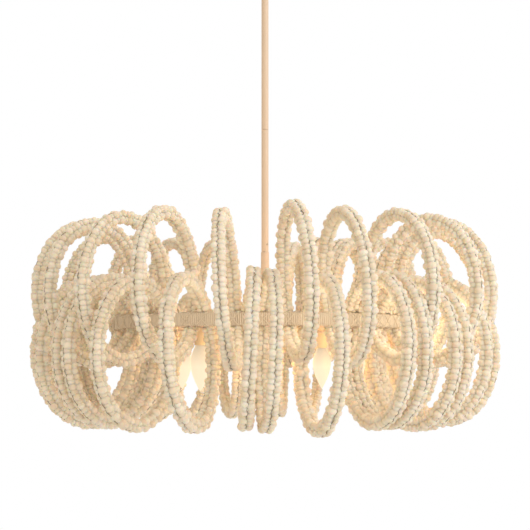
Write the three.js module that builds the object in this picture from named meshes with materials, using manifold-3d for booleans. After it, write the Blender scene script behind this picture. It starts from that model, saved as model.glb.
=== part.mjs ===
// Two-tier chandelier of beaded hoops, hung on a stem below a swivel canopy.
// Millimetres, +Z up, the viewer stands at -Y. The origin is where the strap meets the ceiling.
import * as THREE from 'three';
import { mergeVertices } from 'three/addons/utils/BufferGeometryUtils.js';
import Module from 'manifold-3d';

const wasm = await Module();
wasm.setup();

// Clearances
const seatClearance = 0.3;
const runningClearance = 0.4;
const cutOverrun = 1;

// Beads and the rope of four strands that they make round each hoop
const beadDiameter = 10;
const ropeWidth = 2 * beadDiameter;
// Corners of the rope's section in bead diameters: out of the hoop first, along the hoop's axis second
const ropeSectionShares = [
  [1, 0.5], [0, 1], [-1, 0.5], [-0.72, 0], [-1, -0.5], [0, -1], [1, -0.5], [0.72, 0],
];

// Hoops, measured on the middle of the rope
const hoopHalfWidth = 82;
const hoopHalfHeight = 116;
const hoopFacets = 16;
const tierOffset = 52;
// Points looked at along each facet of a rope, and corrections made, to seat a hoop on the carrier
const seatSpots = 48;
const seatRounds = 6;

// Carrier ring that all hoops hang on, and its arms
const carrierInner = 260;
const carrierThickness = 8;
const carrierHeight = 19;
const carrierEdge = 2.5;
const carrierFacets = 48;
const armDiameter = 8;
const armFacets = 6;
const armBearings = [35, 125, 215, 305];

// Stem of two equal sections
const stemDiameter = 12.7;
const stemWall = 1.2;
const stemSection = 304.8;
const stemFacets = 12;
const stubLength = 24;
const stemFoot = 44.2;
const jointAboveCarrier = stemSection + stemFoot;

// Hub and the trumpet that covers the end of the stem
const hubRadius = 30;
const hubFacets = 12;
const finialRadius = 11;
const finialDrop = 24;
// Finial's outline in finial radii and drops, from its tip to its neck
const finialShares = [[0, 1], [0.5, 0.89], [1, 0.5], [0.5, 0.1]];
const nippleLength = 60;
const trumpetTop = 128;
const trumpetLip = 1;
const trumpetFoot = 27;
const trumpetSteps = 5;
const trumpetPower = 3;

// Lamps, which hang below the arms
const lampInset = 73;
const lampCircle = carrierInner - lampInset;
const padRadius = 11;
const padRise = 4;
const lampFacets = 8;
const cupRadius = 15;
const cupHeight = 5;
const sleeveRadius = 10.5;
const sleeveLength = 32;
const bulbRadius = 17.5;
const bulbLength = 76;
const bulbNeck = 9;
const capRadius = 5.9;
const capLength = 22;

// Strap, swivel and canopy
const strapWidth = 24;
const strapThickness = 4;
const slotInset = 17;
const slotHalfLength = 5;
const slotRadius = 2.5;
const slotFacets = 4;
const bossRadius = 10;
const bossHeight = 12;
const spigotRadius = 5;
const yokeDiscRadius = 11;
const yokeDiscHeight = 3;
const pinDrop = 31;
const pinRadius = 2.5;
const cheekThickness = 3;
const cheekHalfWidth = 8;
const cheekBelowPin = 7;
const tongueThickness = 6;
const tongueRadius = 7;
const stemTopBelowPin = 13;
const ballRadius = 26;
const ballWall = 1.5;
const ballOpenAngle = 82;
const ballFacets = 12;
const ballSteps = 4;
const canopyRadius = 65;
const canopyWall = 1.2;
const canopyRim = 8;
const canopyDepth = 48;
const canopyFacets = 20;
const canopySteps = 3;

// Levels that follow from the sizes above
const pinLevel = -pinDrop;
const stemTop = pinLevel - stemTopBelowPin;
const jointLevel = stemTop - stemSection;
const carrierLevel = jointLevel - jointAboveCarrier;
const stemBottom = jointLevel - seatClearance - stemSection;
const stemRadius = stemDiameter / 2;
const boreRadius = stemRadius - stemWall;
const canopyInside = canopyRadius - canopyWall;
const strapReach = Math.sqrt(insideFlats(canopyInside, canopyFacets) ** 2 - (strapWidth / 2) ** 2)
  - seatClearance;
const slotSpread = strapReach - slotInset;

// Colours, roughness and metalness of the materials
const looks = {
  bead: { color: 0xe6dcc6, roughness: 0.62, metalness: 0 },
  paint: { color: 0xe9dcc8, roughness: 0.45, metalness: 0.1 },
  metal: { color: 0xb9b4aa, roughness: 0.4, metalness: 0.9 },
  sleeve: { color: 0xf3ead6, roughness: 0.5, metalness: 0 },
  bulb: { color: 0xffd9a0, roughness: 0.1, metalness: 0, emissive: 0xffa040 },
};

const rad = THREE.MathUtils.degToRad;

// Helpers: closed bodies, joins and cuts

// Keeps only positions, welds them, drops empty triangles and turns the faces outwards
function closed(geometry) {
  const bare = new THREE.BufferGeometry();
  bare.setAttribute('position', geometry.getAttribute('position').clone());
  if (geometry.index) bare.setIndex(geometry.index.clone());
  const welded = mergeVertices(bare);
  const points = welded.getAttribute('position');
  const corners = Array.from(welded.index.array);
  const kept = [];
  let volume = 0;
  const [a, b, c] = [new THREE.Vector3(), new THREE.Vector3(), new THREE.Vector3()];
  for (let i = 0; i < corners.length; i += 3) {
    const [p, q, r] = corners.slice(i, i + 3);
    if (p === q || q === r || r === p) continue;
    kept.push(p, q, r);
    volume += a.fromBufferAttribute(points, p).dot(
      b.fromBufferAttribute(points, q).cross(c.fromBufferAttribute(points, r)));
  }
  welded.setIndex(volume < 0 ? kept.reverse() : kept);
  return welded;
}

function toManifold(geometry) {
  const body = closed(geometry);
  return new wasm.Manifold(new wasm.Mesh({
    numProp: 3,
    vertProperties: new Float32Array(body.getAttribute('position').array),
    triVerts: new Uint32Array(body.index.array),
  }));
}

function fromManifold(solid) {
  const mesh = solid.getMesh();
  const geometry = new THREE.BufferGeometry();
  geometry.setAttribute('position', new THREE.BufferAttribute(new Float32Array(mesh.vertProperties), 3));
  geometry.setIndex(new THREE.BufferAttribute(new Uint32Array(mesh.triVerts), 1));
  return geometry;
}

// Joins the pieces of one welded or turned part, then cuts the others out of it
function joined(pieces, cuts = []) {
  let solid = pieces.map(toManifold).reduce((whole, piece) => whole.add(piece));
  for (const cut of cuts) solid = solid.subtract(toManifold(cut));
  return fromManifold(solid);
}

// Turns a profile of [radius, level] points round the Z axis
function turned(profile, facets) {
  const geometry = new THREE.LatheGeometry(profile.map(([r, z]) => new THREE.Vector2(r, z)), facets);
  return geometry.rotateX(Math.PI / 2);
}

// Upright round bar between two levels
function upright(radius, bottom, top, facets) {
  return turned([[0, bottom], [radius, bottom], [radius, top], [0, top]], facets);
}

// Turns a profile of [radius, drop] points, with the drops measured downwards
function turnedDown(profile, facets) {
  return turned(profile.map(([radius, drop]) => [radius, -drop]), facets);
}

// Cross bar along Y at a level
function crossPin(radius, length, level, facets) {
  return new THREE.CylinderGeometry(radius, radius, length, facets).translate(0, 0, level);
}

function block(width, depth, bottom, top) {
  return new THREE.BoxGeometry(width, depth, top - bottom).translate(0, 0, (top + bottom) / 2);
}

// Radius of a polygon's corners that keeps the middles of its sides at the wanted radius
function aroundFlats(radius, facets) {
  return radius / Math.cos(Math.PI / facets);
}

// Radius at the middle of a polygon's sides
function insideFlats(radius, facets) {
  return radius * Math.cos(Math.PI / facets);
}

// Bearings run from +X at the viewer's right, over the front (-Y) at 90, to the left at 180
function atBearing(bearing, radius, level) {
  return new THREE.Vector3(radius * Math.cos(rad(bearing)), -radius * Math.sin(rad(bearing)), level);
}

const chandelier = new THREE.Group();

function addPiece(name, geometry, look) {
  const mesh = new THREE.Mesh(closed(geometry), new THREE.MeshStandardMaterial(look));
  mesh.name = name;
  chandelier.add(mesh);
  return mesh;
}

// Strap on the ceiling box, with a boss that the swivel turns in
function strapGeometry() {
  const outline = new THREE.Shape([
    new THREE.Vector2(-strapReach, -strapWidth / 2),
    new THREE.Vector2(strapReach, -strapWidth / 2),
    new THREE.Vector2(strapReach, strapWidth / 2),
    new THREE.Vector2(-strapReach, strapWidth / 2),
  ]);
  for (const side of [-1, 1]) {
    const slot = new THREE.Path();
    slot.absarc(side * slotSpread + slotHalfLength, 0, slotRadius, -Math.PI / 2, Math.PI / 2, false);
    slot.absarc(side * slotSpread - slotHalfLength, 0, slotRadius, Math.PI / 2, -Math.PI / 2, false);
    outline.holes.push(slot);
  }
  const plate = new THREE.ExtrudeGeometry(outline, {
    depth: strapThickness, bevelEnabled: false, curveSegments: slotFacets,
  }).translate(0, 0, -strapThickness);
  const boss = upright(bossRadius, -strapThickness - bossHeight, -strapThickness / 2, hubFacets);
  const socket = upright(spigotRadius + runningClearance, -strapThickness - bossHeight - cutOverrun,
    -strapThickness, hubFacets);
  return joined([plate, boss], [socket]);
}

addPiece('mounting_strap', strapGeometry(), looks.metal);

// Canopy: a shallow dome with an upright rim, open at the foot where the ball sits
function canopyGeometry() {
  const poleRise = canopyDepth - canopyWall - pinDrop;
  const ballAtMouth = Math.sqrt(ballRadius ** 2 - poleRise ** 2);
  const mouth = aroundFlats(ballAtMouth + runningClearance, canopyFacets);
  const outer = [];
  const inner = [];
  for (let i = 0; i <= canopySteps; i++) {
    const swing = (Math.PI / 2) * (i / canopySteps);
    const radius = mouth + (canopyRadius - mouth) * Math.cos(swing);
    const drop = canopyRim + (canopyDepth - canopyRim) * Math.sin(swing);
    const innerRadius = mouth + (canopyRadius - canopyWall - mouth) * Math.cos(swing);
    const innerDrop = canopyRim + (canopyDepth - canopyWall - canopyRim) * Math.sin(swing);
    outer.push([radius, -drop]);
    inner.push([innerRadius, -innerDrop]);
  }
  const top = -seatClearance;
  return turned([
    [canopyRadius - canopyWall, top], [canopyRadius, top], ...outer, ...inner.reverse(),
    [canopyRadius - canopyWall, top],
  ], canopyFacets);
}

addPiece('canopy', canopyGeometry(), looks.paint);

// Swivel: a spigot that turns in the strap's boss, two cheeks and a cross pin
function swivelGeometry() {
  const socketEnd = -strapThickness;
  const discTop = -strapThickness - bossHeight - seatClearance;
  const discBottom = discTop - yokeDiscHeight;
  const cheekBottom = pinLevel - cheekBelowPin;
  const cheekGap = tongueThickness + 2 * seatClearance;
  const spigot = upright(spigotRadius, discTop - yokeDiscHeight / 2, socketEnd - seatClearance, hubFacets);
  const disc = upright(yokeDiscRadius, discBottom, discTop, hubFacets);
  const cheeks = [-1, 1].map((side) => block(2 * cheekHalfWidth, cheekThickness, cheekBottom,
    discTop - yokeDiscHeight / 2).translate(0, side * (cheekGap + cheekThickness) / 2, 0));
  const pin = crossPin(pinRadius, cheekGap + 2 * cheekThickness, pinLevel, lampFacets);
  return joined([spigot, disc, ...cheeks, pin]);
}

addPiece('swivel_yoke', swivelGeometry(), looks.metal);

// Upper stem section: a tongue on the swivel's pin, the ball that fills the canopy's mouth, and the tube
function upperStemGeometry() {
  const outer = [];
  const inner = [];
  const hollow = ballRadius - ballWall;
  for (let i = 0; i <= ballSteps; i++) {
    const swing = rad(ballOpenAngle) * (i / ballSteps);
    outer.push([ballRadius * Math.sin(swing), pinLevel - ballRadius * Math.cos(swing)]);
    inner.push([hollow * Math.sin(swing), pinLevel - hollow * Math.cos(swing)]);
  }
  const ball = turned([...outer, ...inner.reverse()], ballFacets);
  const pipe = upright(stemRadius, jointLevel, stemTop, stemFacets);
  const tongue = block(2 * tongueRadius, tongueThickness, stemTop - stemWall, pinLevel);
  const tongueEnd = crossPin(tongueRadius, tongueThickness, pinLevel, hubFacets);
  const pinHole = crossPin(pinRadius + seatClearance, tongueThickness + 2 * cutOverrun, pinLevel, lampFacets);
  const bore = upright(boreRadius, jointLevel - cutOverrun, stemTop - stemDiameter, stemFacets);
  return joined([ball, pipe, tongue, tongueEnd], [pinHole, bore]);
}

addPiece('stem_upper', upperStemGeometry(), looks.paint);

// Lower stem section, with the threaded stub that screws into the upper one
function lowerStemGeometry() {
  const top = jointLevel - seatClearance;
  const stubRadius = boreRadius - seatClearance;
  const pipe = upright(stemRadius, stemBottom, top, stemFacets);
  const stub = upright(stubRadius, top - stubLength, top + stubLength, stemFacets);
  const bore = upright(boreRadius, stemBottom - cutOverrun, top - stubLength, stemFacets);
  const wireway = upright(stubRadius - stemWall, top - stubLength - cutOverrun, top + stubLength + cutOverrun,
    stemFacets);
  return joined([pipe, stub], [bore, wireway]);
}

addPiece('stem_lower', lowerStemGeometry(), looks.paint);

// Trumpet that flares from the stem down to the hub
function trumpetGeometry() {
  const bore = aroundFlats(stemRadius + seatClearance, hubFacets);
  const foot = carrierLevel + carrierHeight / 2 + seatClearance;
  const top = carrierLevel + trumpetTop;
  const lip = bore + trumpetLip;
  const profile = [[bore, foot]];
  for (let i = 0; i <= trumpetSteps; i++) {
    const share = i / trumpetSteps;
    const flare = (1 - share) ** trumpetPower;
    profile.push([lip + (trumpetFoot - lip) * flare, foot + (top - foot) * share]);
  }
  profile.push([bore, top], [bore, foot]);
  return turned(profile, hubFacets);
}

addPiece('trumpet', trumpetGeometry(), looks.paint);

// Carrier: hub with finial and nipple, the arms, a lamp pad on each arm and the ring, welded together
function carrierGeometry() {
  const half = carrierHeight / 2;
  const inner = carrierInner;
  const outer = inner + carrierThickness;
  const ring = turned([
    [inner, -half + carrierEdge], [inner + carrierEdge, -half], [outer - carrierEdge, -half],
    [outer, -half + carrierEdge], [outer, half - carrierEdge], [outer - carrierEdge, half],
    [inner + carrierEdge, half], [inner, half - carrierEdge], [inner, -half + carrierEdge],
  ], carrierFacets);
  const nippleRadius = boreRadius - seatClearance;
  const hub = turned([
    ...finialShares.map(([wide, low]) => [finialRadius * wide, -half - finialDrop * low]),
    [hubRadius - carrierEdge, -half], [hubRadius, -half + carrierEdge], [hubRadius, half - carrierEdge],
    [hubRadius - carrierEdge, half], [nippleRadius, half], [nippleRadius, half + nippleLength],
    [0, half + nippleLength],
  ], hubFacets);
  const reach = carrierInner + carrierThickness / 2;
  const start = hubRadius / 2;
  const rod = armDiameter / 2;
  const arm = (bearing) => new THREE.CylinderGeometry(rod, rod, reach - start, armFacets)
    .rotateZ(-Math.PI / 2).translate((reach + start) / 2, 0, 0).rotateZ(-rad(bearing));
  const pad = (bearing) => upright(padRadius, -rod - padRise, rod + padRise, lampFacets)
    .translate(...atBearing(bearing, lampCircle, 0));
  return joined([hub, ring, ...armBearings.map(arm), ...armBearings.map(pad)]);
}

addPiece('carrier', carrierGeometry(), looks.paint).position.z = carrierLevel;

// Lampholder with its candle sleeve: hangs from a pad, its bore takes the bulb's cap
function holderGeometry() {
  const bore = aroundFlats(capRadius + seatClearance, lampFacets);
  const boreEnd = sleeveLength - capLength - seatClearance;
  return turnedDown([
    [0, 0], [padRadius, 0], [cupRadius, cupHeight], [sleeveRadius, cupHeight + seatClearance],
    [sleeveRadius, sleeveLength], [bore, sleeveLength], [bore, boreEnd], [0, boreEnd],
  ], lampFacets);
}

// Candle bulb: screw cap, then glass that swells and tapers to a tip, in radii and lengths of the glass
const glassShares = [[0.72, 0.12], [1, 0.34], [0.86, 0.56], [0.46, 0.82], [0.16, 0.95]];

function bulbGeometry() {
  const glassStart = sleeveLength + seatClearance;
  return turnedDown([
    [0, sleeveLength - capLength], [capRadius, sleeveLength - capLength], [capRadius, glassStart],
    [bulbNeck, glassStart],
    ...glassShares.map(([wide, low]) => [bulbRadius * wide, glassStart + bulbLength * low]),
    [0, glassStart + bulbLength],
  ], lampFacets);
}

const padBottom = carrierLevel - armDiameter / 2 - padRise;
armBearings.forEach((bearing, i) => {
  const place = atBearing(bearing, lampCircle, padBottom - seatClearance);
  addPiece(`lampholder_${i + 1}`, holderGeometry(), looks.sleeve).position.copy(place);
  addPiece(`bulb_${i + 1}`, bulbGeometry(), looks.bulb).position.copy(place);
});

// Hoops

// Middle of the rope at a step round the oval; the sides are drawn out to the true half width
function hoopFrame(step) {
  const angle = Math.PI / 2 + (2 * Math.PI * step) / hoopFacets;
  const middle = new THREE.Vector3(aroundFlats(hoopHalfWidth, hoopFacets) * Math.cos(angle), 0,
    hoopHalfHeight * Math.sin(angle));
  const outward = new THREE.Vector3(hoopHalfHeight * Math.cos(angle), 0, hoopHalfWidth * Math.sin(angle));
  return { middle, outward: outward.normalize() };
}

// Corner of the rope's section at a step, which may be a fraction
function ropeCorner(step, [out, along]) {
  const { middle, outward } = hoopFrame(step);
  return middle.addScaledVector(outward, out * beadDiameter).setY(along * beadDiameter);
}

function hoopGeometry() {
  const positions = [];
  const corners = [];
  const sides = ropeSectionShares.length;
  for (let step = 0; step < hoopFacets; step++) {
    const next = (step + 1) % hoopFacets;
    for (let side = 0; side < sides; side++) {
      const following = (side + 1) % sides;
      const [a, b] = [step * sides + side, step * sides + following];
      const [c, d] = [next * sides + side, next * sides + following];
      positions.push(...ropeCorner(step, ropeSectionShares[side]));
      corners.push(a, b, c, b, d, c);
    }
  }
  const geometry = new THREE.BufferGeometry();
  geometry.setAttribute('position', new THREE.Float32BufferAttribute(positions, 3));
  geometry.setIndex(corners);
  return geometry;
}

// Points along the rope's facets on the half of the hoop that passes inside the carrier
function innerRopeSpots() {
  const spots = [];
  for (let step = 0; step < hoopFacets / 2; step++) {
    for (const share of ropeSectionShares) {
      const [from, to] = [ropeCorner(step, share), ropeCorner(step + 1, share)];
      for (let i = 0; i < seatSpots; i++) spots.push(from.clone().lerp(to, i / seatSpots));
    }
  }
  return spots;
}

const ropeSpots = innerRopeSpots();

// Radius of the carrier's faceted inner face at a point's bearing and level
function carrierFaceAt(point) {
  const facet = (2 * Math.PI) / carrierFacets;
  const bearing = Math.atan2(point.y, point.x) + 2 * Math.PI;
  const offMiddle = (bearing % facet) - facet / 2;
  const edge = Math.max(0, Math.abs(point.z) - carrierHeight / 2 + carrierEdge);
  return ((carrierInner + edge) * Math.cos(facet / 2)) / Math.cos(offMiddle);
}

// Radius for the hoop's centre at which its inner strands bear on the carrier, found by moving it to its seat
function seatedRadius(bearing, rotation, rise) {
  let radius = carrierInner + hoopHalfWidth - ropeWidth;
  for (let round = 0; round < seatRounds; round++) {
    const centre = atBearing(bearing, radius, rise);
    const gaps = ropeSpots
      .map((spot) => spot.clone().applyEuler(rotation).add(centre))
      .filter((point) => Math.abs(point.z) <= carrierHeight / 2)
      .map((point) => carrierFaceAt(point) - Math.hypot(point.x, point.y));
    radius += Math.min(...gaps) - seatClearance;
  }
  return radius;
}

// Each hoop as it was tied on by hand: bearing, turn about its upright and lean of its top, in degrees,
// then its lift as a share of a bead
const upperHoopShares = [
  [17, 0, 1, 0],
  [30.5, -1, 1.5, 0.1],
  [47.5, 6, 1, 0.1],
  [66.6, 2, 3.5, -0.2],
  [81, -5, 3.5, 0.6],
  [100.4, -4, 4, -0.8],
  [119, 0, 2.5, 0],
  [135.5, 1, 0.5, -0.2],
  [152, -4, 2, -0.4],
  [168, 0, 1, 0],
  [184, 2, -1, 0.2],
  [201, -1, 1, -0.3],
  [220.5, 1, -1, 0.3],
  [234.5, -1, 1, 0.1],
  [250.5, -2, 1, 0],
  [280.5, 1, 1, -0.3],
  [291.5, -1, -1, 0.4],
  [300.5, 1, -1, 0],
  [317, 0, 1, -0.4],
  [332.5, -2, -1, 0.3],
  [347.5, 1, 1, 0.2],
  [2, 0, -1, -0.2],
];
const lowerHoopShares = [
  [9.5, 1, -1, 0],
  [24.5, -1, 0, 0.3],
  [41, 0, -1, -0.2],
  [57, -1, -1, 0.3],
  [74, -4, -2, -0.6],
  [89, -6, -2, 0.1],
  [94.2, -6, -3, 0.5],
  [111.5, 1.5, 5, -0.1],
  [130.3, 2, 1, -0.2],
  [146, 1, 0, 0.2],
  [160, -2, 1, -0.2],
  [176, 0, -1, 0.3],
  [192.5, 1, 1, 0],
  [209.5, -2, -1, 0.2],
  [228, 0, 1, -0.3],
  [242, 1, 1, -0.3],
  [257, 0, -2, 0],
  [271, -1, 1, 0.3],
  [286, 1, 0, -0.2],
  [309.5, -1, -1, 0.2],
  [325, 1, 2, 0],
  [340, 0, -1, -0.3],
  [355, -1, 1, 0.2],
];

function addTier(name, side, shares) {
  shares.forEach(([bearing, turn, lean, lift], i) => {
    const rise = side * tierOffset + lift * beadDiameter;
    const hoop = addPiece(`${name}_${String(i + 1).padStart(2, '0')}`, hoopGeometry(), looks.bead);
    hoop.rotation.set(rad(lean), 0, -rad(bearing + turn), 'ZYX');
    hoop.position.copy(atBearing(bearing, seatedRadius(bearing, hoop.rotation, rise), carrierLevel + rise));
  });
}

addTier('upper_hoop', 1, upperHoopShares);
addTier('lower_hoop', -1, lowerHoopShares);

export default chandelier;
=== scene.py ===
"""Beaded chandelier: beads, cords, paint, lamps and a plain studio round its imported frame. Metres, +Z up."""
import math

import bmesh
import bpy
import numpy as np
from bpy.props import FloatProperty, FloatVectorProperty, IntProperty, PointerProperty
from mathutils import Matrix, Vector


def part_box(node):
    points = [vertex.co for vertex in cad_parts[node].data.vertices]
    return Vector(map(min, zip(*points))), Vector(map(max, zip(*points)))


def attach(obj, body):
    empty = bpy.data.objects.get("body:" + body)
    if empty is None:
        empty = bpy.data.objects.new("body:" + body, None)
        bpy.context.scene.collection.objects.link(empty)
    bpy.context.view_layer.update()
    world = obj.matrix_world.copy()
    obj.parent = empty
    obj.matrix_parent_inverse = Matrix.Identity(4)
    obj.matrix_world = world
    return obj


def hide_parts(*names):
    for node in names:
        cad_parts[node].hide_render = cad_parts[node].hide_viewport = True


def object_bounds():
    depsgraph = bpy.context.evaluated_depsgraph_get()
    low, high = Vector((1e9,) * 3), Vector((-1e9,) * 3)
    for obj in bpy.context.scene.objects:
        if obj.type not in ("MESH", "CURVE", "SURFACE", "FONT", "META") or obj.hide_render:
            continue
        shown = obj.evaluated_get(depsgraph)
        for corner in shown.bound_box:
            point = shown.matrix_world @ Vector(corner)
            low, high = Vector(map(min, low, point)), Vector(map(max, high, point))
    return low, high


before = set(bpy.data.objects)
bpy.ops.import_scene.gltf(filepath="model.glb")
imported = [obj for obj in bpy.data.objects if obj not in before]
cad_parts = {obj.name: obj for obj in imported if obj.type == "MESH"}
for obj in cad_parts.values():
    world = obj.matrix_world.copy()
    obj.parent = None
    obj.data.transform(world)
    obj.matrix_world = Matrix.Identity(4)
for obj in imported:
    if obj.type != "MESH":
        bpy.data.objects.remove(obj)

bl_info = {
    "name": "Beaded Chandelier",
    "version": (1, 0, 0),
    "blender": (4, 5, 0),
    "location": "3D View > Sidebar > Chandelier",
    "description": "Builds the beaded hoops, the painted frame, the lamps and a plain studio",
    "category": "Add Mesh",
}

# Frame: the model's box, the bodies and the nodes that the pieces stand for
CAD_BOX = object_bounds()
CEILING, SWIVEL, HANGING = "ceiling_side", "swivel", "hanging"
HOOP_NODES = sorted(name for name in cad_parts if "_hoop_" in name)
HOLDER_NODES = sorted(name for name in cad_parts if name.startswith("lampholder_"))
BULB_NODES = sorted(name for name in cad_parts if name.startswith("bulb_"))

# Sizes that the frame's boxes don't give by themselves
CARRIER_HEIGHT = 0.019
CARRIER_THICKNESS = 0.008
NIPPLE_LENGTH = 0.060
HOOP_FACETS = 16
SEAT_GAP = 0.0003
STEM_RADIUS = 0.00635
PIN_DROP = 0.031
HOOP_CIRCLE = 0.331

CARRIER_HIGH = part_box("carrier")[1]
CARRIER_LEVEL = CARRIER_HIGH.z - NIPPLE_LENGTH - CARRIER_HEIGHT / 2
CARRIER_OUTER = CARRIER_HIGH.x
CARRIER_INNER = CARRIER_OUTER - CARRIER_THICKNESS
CARRIER_MIDDLE = (CARRIER_INNER + CARRIER_OUTER) / 2
JOINT_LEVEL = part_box("stem_upper")[0].z

# Set screws in the stem: height above the carrier, offset from the stem's front, radius
SET_SCREWS = ((0.142, 0.0039, 0.0015), (0.129, -0.0014, 0.0009))

# Hoops that the frame has no nodes for: a neighbour, and its turn about the stem in degrees
FURTHER_HOOPS = (
    ("lower_hoop_03", 5.0), ("lower_hoop_04", 5.0), ("lower_hoop_10", 5.0), ("lower_hoop_13", 4.5),
    ("lower_hoop_14", 4.5), ("lower_hoop_14", -5.5), ("lower_hoop_18", 7.0), ("lower_hoop_18", -4.8),
    ("upper_hoop_18", -4.5),
)

WHITE = (1.0, 1.0, 1.0, 1.0)


# Node trees

def pick(sockets, key):
    """The socket at an index, or the first one in use with that name"""
    if isinstance(key, int):
        return sockets[key]
    return next(socket for socket in sockets if socket.name == key and socket.enabled)


class Graph:
    """Adds nodes to a tree; an input is given a plain value or another node's socket"""

    def __init__(self, tree):
        self.tree = tree

    def node(self, kind, inputs=None, **settings):
        node = self.tree.nodes.new(kind)
        for name, value in settings.items():
            setattr(node, name, value)
        for key, value in (inputs or {}).items():
            socket = pick(node.inputs, key)
            if isinstance(value, bpy.types.NodeSocket):
                self.tree.links.new(value, socket)
            else:
                socket.default_value = value
        return node

    def out(self, kind, inputs=None, **settings):
        """The first output in use of a new node"""
        return next(socket for socket in self.node(kind, inputs, **settings).outputs if socket.enabled)

    def math(self, operation, a, b=0.0):
        return self.out("ShaderNodeMath", {0: a, 1: b}, operation=operation)

    def times(self, a, b):
        return self.math("MULTIPLY", a, b)

    def vector(self, operation, a, b=(0.0, 0.0, 0.0)):
        return self.out("ShaderNodeVectorMath", {0: a, 1: b}, operation=operation)

    def scaled(self, a, factor):
        return self.out("ShaderNodeVectorMath", {0: a, "Scale": factor}, operation="SCALE")

    def xyz(self, x, y, z):
        return self.out("ShaderNodeCombineXYZ", {0: x, 1: y, 2: z})

    def parts(self, place):
        """The x, y and z of a place"""
        return self.node("ShaderNodeSeparateXYZ", {0: place}).outputs

    def noise(self, place, scale, detail=3.0, stretch=None):
        """Noise over a place; where a part of the stretch is small, it is drawn out that way"""
        if stretch:
            place = self.vector("MULTIPLY", place, stretch)
        return self.out("ShaderNodeTexNoise", {"Vector": place, "Scale": scale, "Detail": detail})

    def ramp(self, share, low, high, first=0.0, last=1.0):
        """Spreads a share so that low becomes the first value and high the last"""
        return self.out("ShaderNodeMapRange", {0: share, 1: low, 2: high, 3: first, 4: last})

    def blend(self, share, first, second):
        """A colour from the first to the second"""
        return self.out("ShaderNodeMix", {"Factor": share, 6: first, 7: second}, data_type="RGBA")

    def shades(self, share, shade, low, high):
        """A colour from a low to a high strength of one shade"""
        return self.blend(share, colour(shade, low), colour(shade, high))

    def seen(self):
        """1 for rays from the camera, in reflections and through glass, else 0"""
        path = self.node("ShaderNodeLightPath").outputs
        return self.math("MAXIMUM", path["Is Camera Ray"],
                         self.math("MAXIMUM", path["Is Glossy Ray"], path["Is Transmission Ray"]))


class Shapes(Graph):
    """A Geometry Nodes tree, with its inputs by kind and name, and the steps that the trees share"""

    def __init__(self, name, **inputs):
        super().__init__(bpy.data.node_groups.new(name, "GeometryNodeTree"))
        for kind, labels in inputs.items():
            for label in labels:
                self.tree.interface.new_socket(label, in_out="INPUT", socket_type="NodeSocket" + kind)
        self.tree.interface.new_socket("Geometry", in_out="OUTPUT", socket_type="NodeSocketGeometry")
        self.size = self.node("NodeGroupInput").outputs

    def place(self):
        """The place of the point at hand"""
        return self.out("GeometryNodeInputPosition")

    def bearing(self, roll=0.0):
        """A turn that faces a point away from the stem"""
        across, ahead, _ = self.parts(self.place())
        return self.xyz(roll, 0.0, self.math("ARCTAN2", ahead, across))

    def random(self, low, high, seed, kind="FLOAT"):
        return self.out("FunctionNodeRandomValue", {"Min": low, "Max": high, "Seed": seed}, data_type=kind)

    def circle(self, steps, radius):
        return self.out("GeometryNodeCurvePrimitiveCircle", {"Resolution": steps, "Radius": radius})

    def tube(self, path, sides, radius):
        section = self.circle(sides, radius)
        return self.out("GeometryNodeCurveToMesh", {"Curve": path, "Profile Curve": section})

    def loop(self, width, height, corner, steps):
        """A rectangle with round corners"""
        flat = self.out("GeometryNodeCurvePrimitiveQuadrilateral", {"Width": width, "Height": height})
        return self.out("GeometryNodeFilletCurve", {"Curve": flat, "Count": steps, "Radius": corner},
                        mode="POLY")

    def turned(self, geometry, turn):
        return self.out("GeometryNodeTransform", {"Geometry": geometry, "Rotation": turn})

    def moved(self, geometry, **how):
        return self.out("GeometryNodeSetPosition", {"Geometry": geometry, **how})

    def smooth(self, geometry):
        return self.out("GeometryNodeSetShadeSmooth", {"Geometry": geometry})

    def stored(self, geometry, name, value, kind, domain):
        return self.out("GeometryNodeStoreNamedAttribute",
                        {"Geometry": geometry, "Name": name, "Value": value}, data_type=kind, domain=domain)

    def instances(self, points, shape, turn, **more):
        return self.out("GeometryNodeInstanceOnPoints",
                        {"Points": points, "Instance": shape, "Rotation": turn, **more})

    def join(self, geometries):
        node = self.node("GeometryNodeJoinGeometry")
        for geometry in geometries:
            self.tree.links.new(geometry, node.inputs[0])
        return node.outputs[0]

    def realized(self, geometry):
        return self.out("GeometryNodeRealizeInstances", {"Geometry": geometry})

    def painted(self, geometry, finish, **more):
        return self.out("GeometryNodeSetMaterial",
                        {"Geometry": geometry, "Material": self.size[finish], **more})

    def end(self, geometry):
        self.node("NodeGroupOutput", {0: geometry})

    def grow(self, values, points=()):
        """Evaluates the tree on some points and returns the result as a plain mesh"""
        source = bpy.data.objects.new(self.tree.name, bpy.data.meshes.new(self.tree.name))
        source.data.from_pydata(points, [], [])
        bpy.context.scene.collection.objects.link(source)
        modifier = source.modifiers.new(self.tree.name, "NODES")
        modifier.node_group = self.tree
        for item in self.tree.interface.items_tree:
            if item.in_out == "INPUT" and item.name in values:
                modifier[item.identifier] = values[item.name]
        source.update_tag()
        graph = bpy.context.evaluated_depsgraph_get()
        mesh = bpy.data.meshes.new_from_object(source.evaluated_get(graph))
        source.modifiers.remove(modifier)
        bpy.data.objects.remove(source)
        return mesh


# Materials

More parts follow.
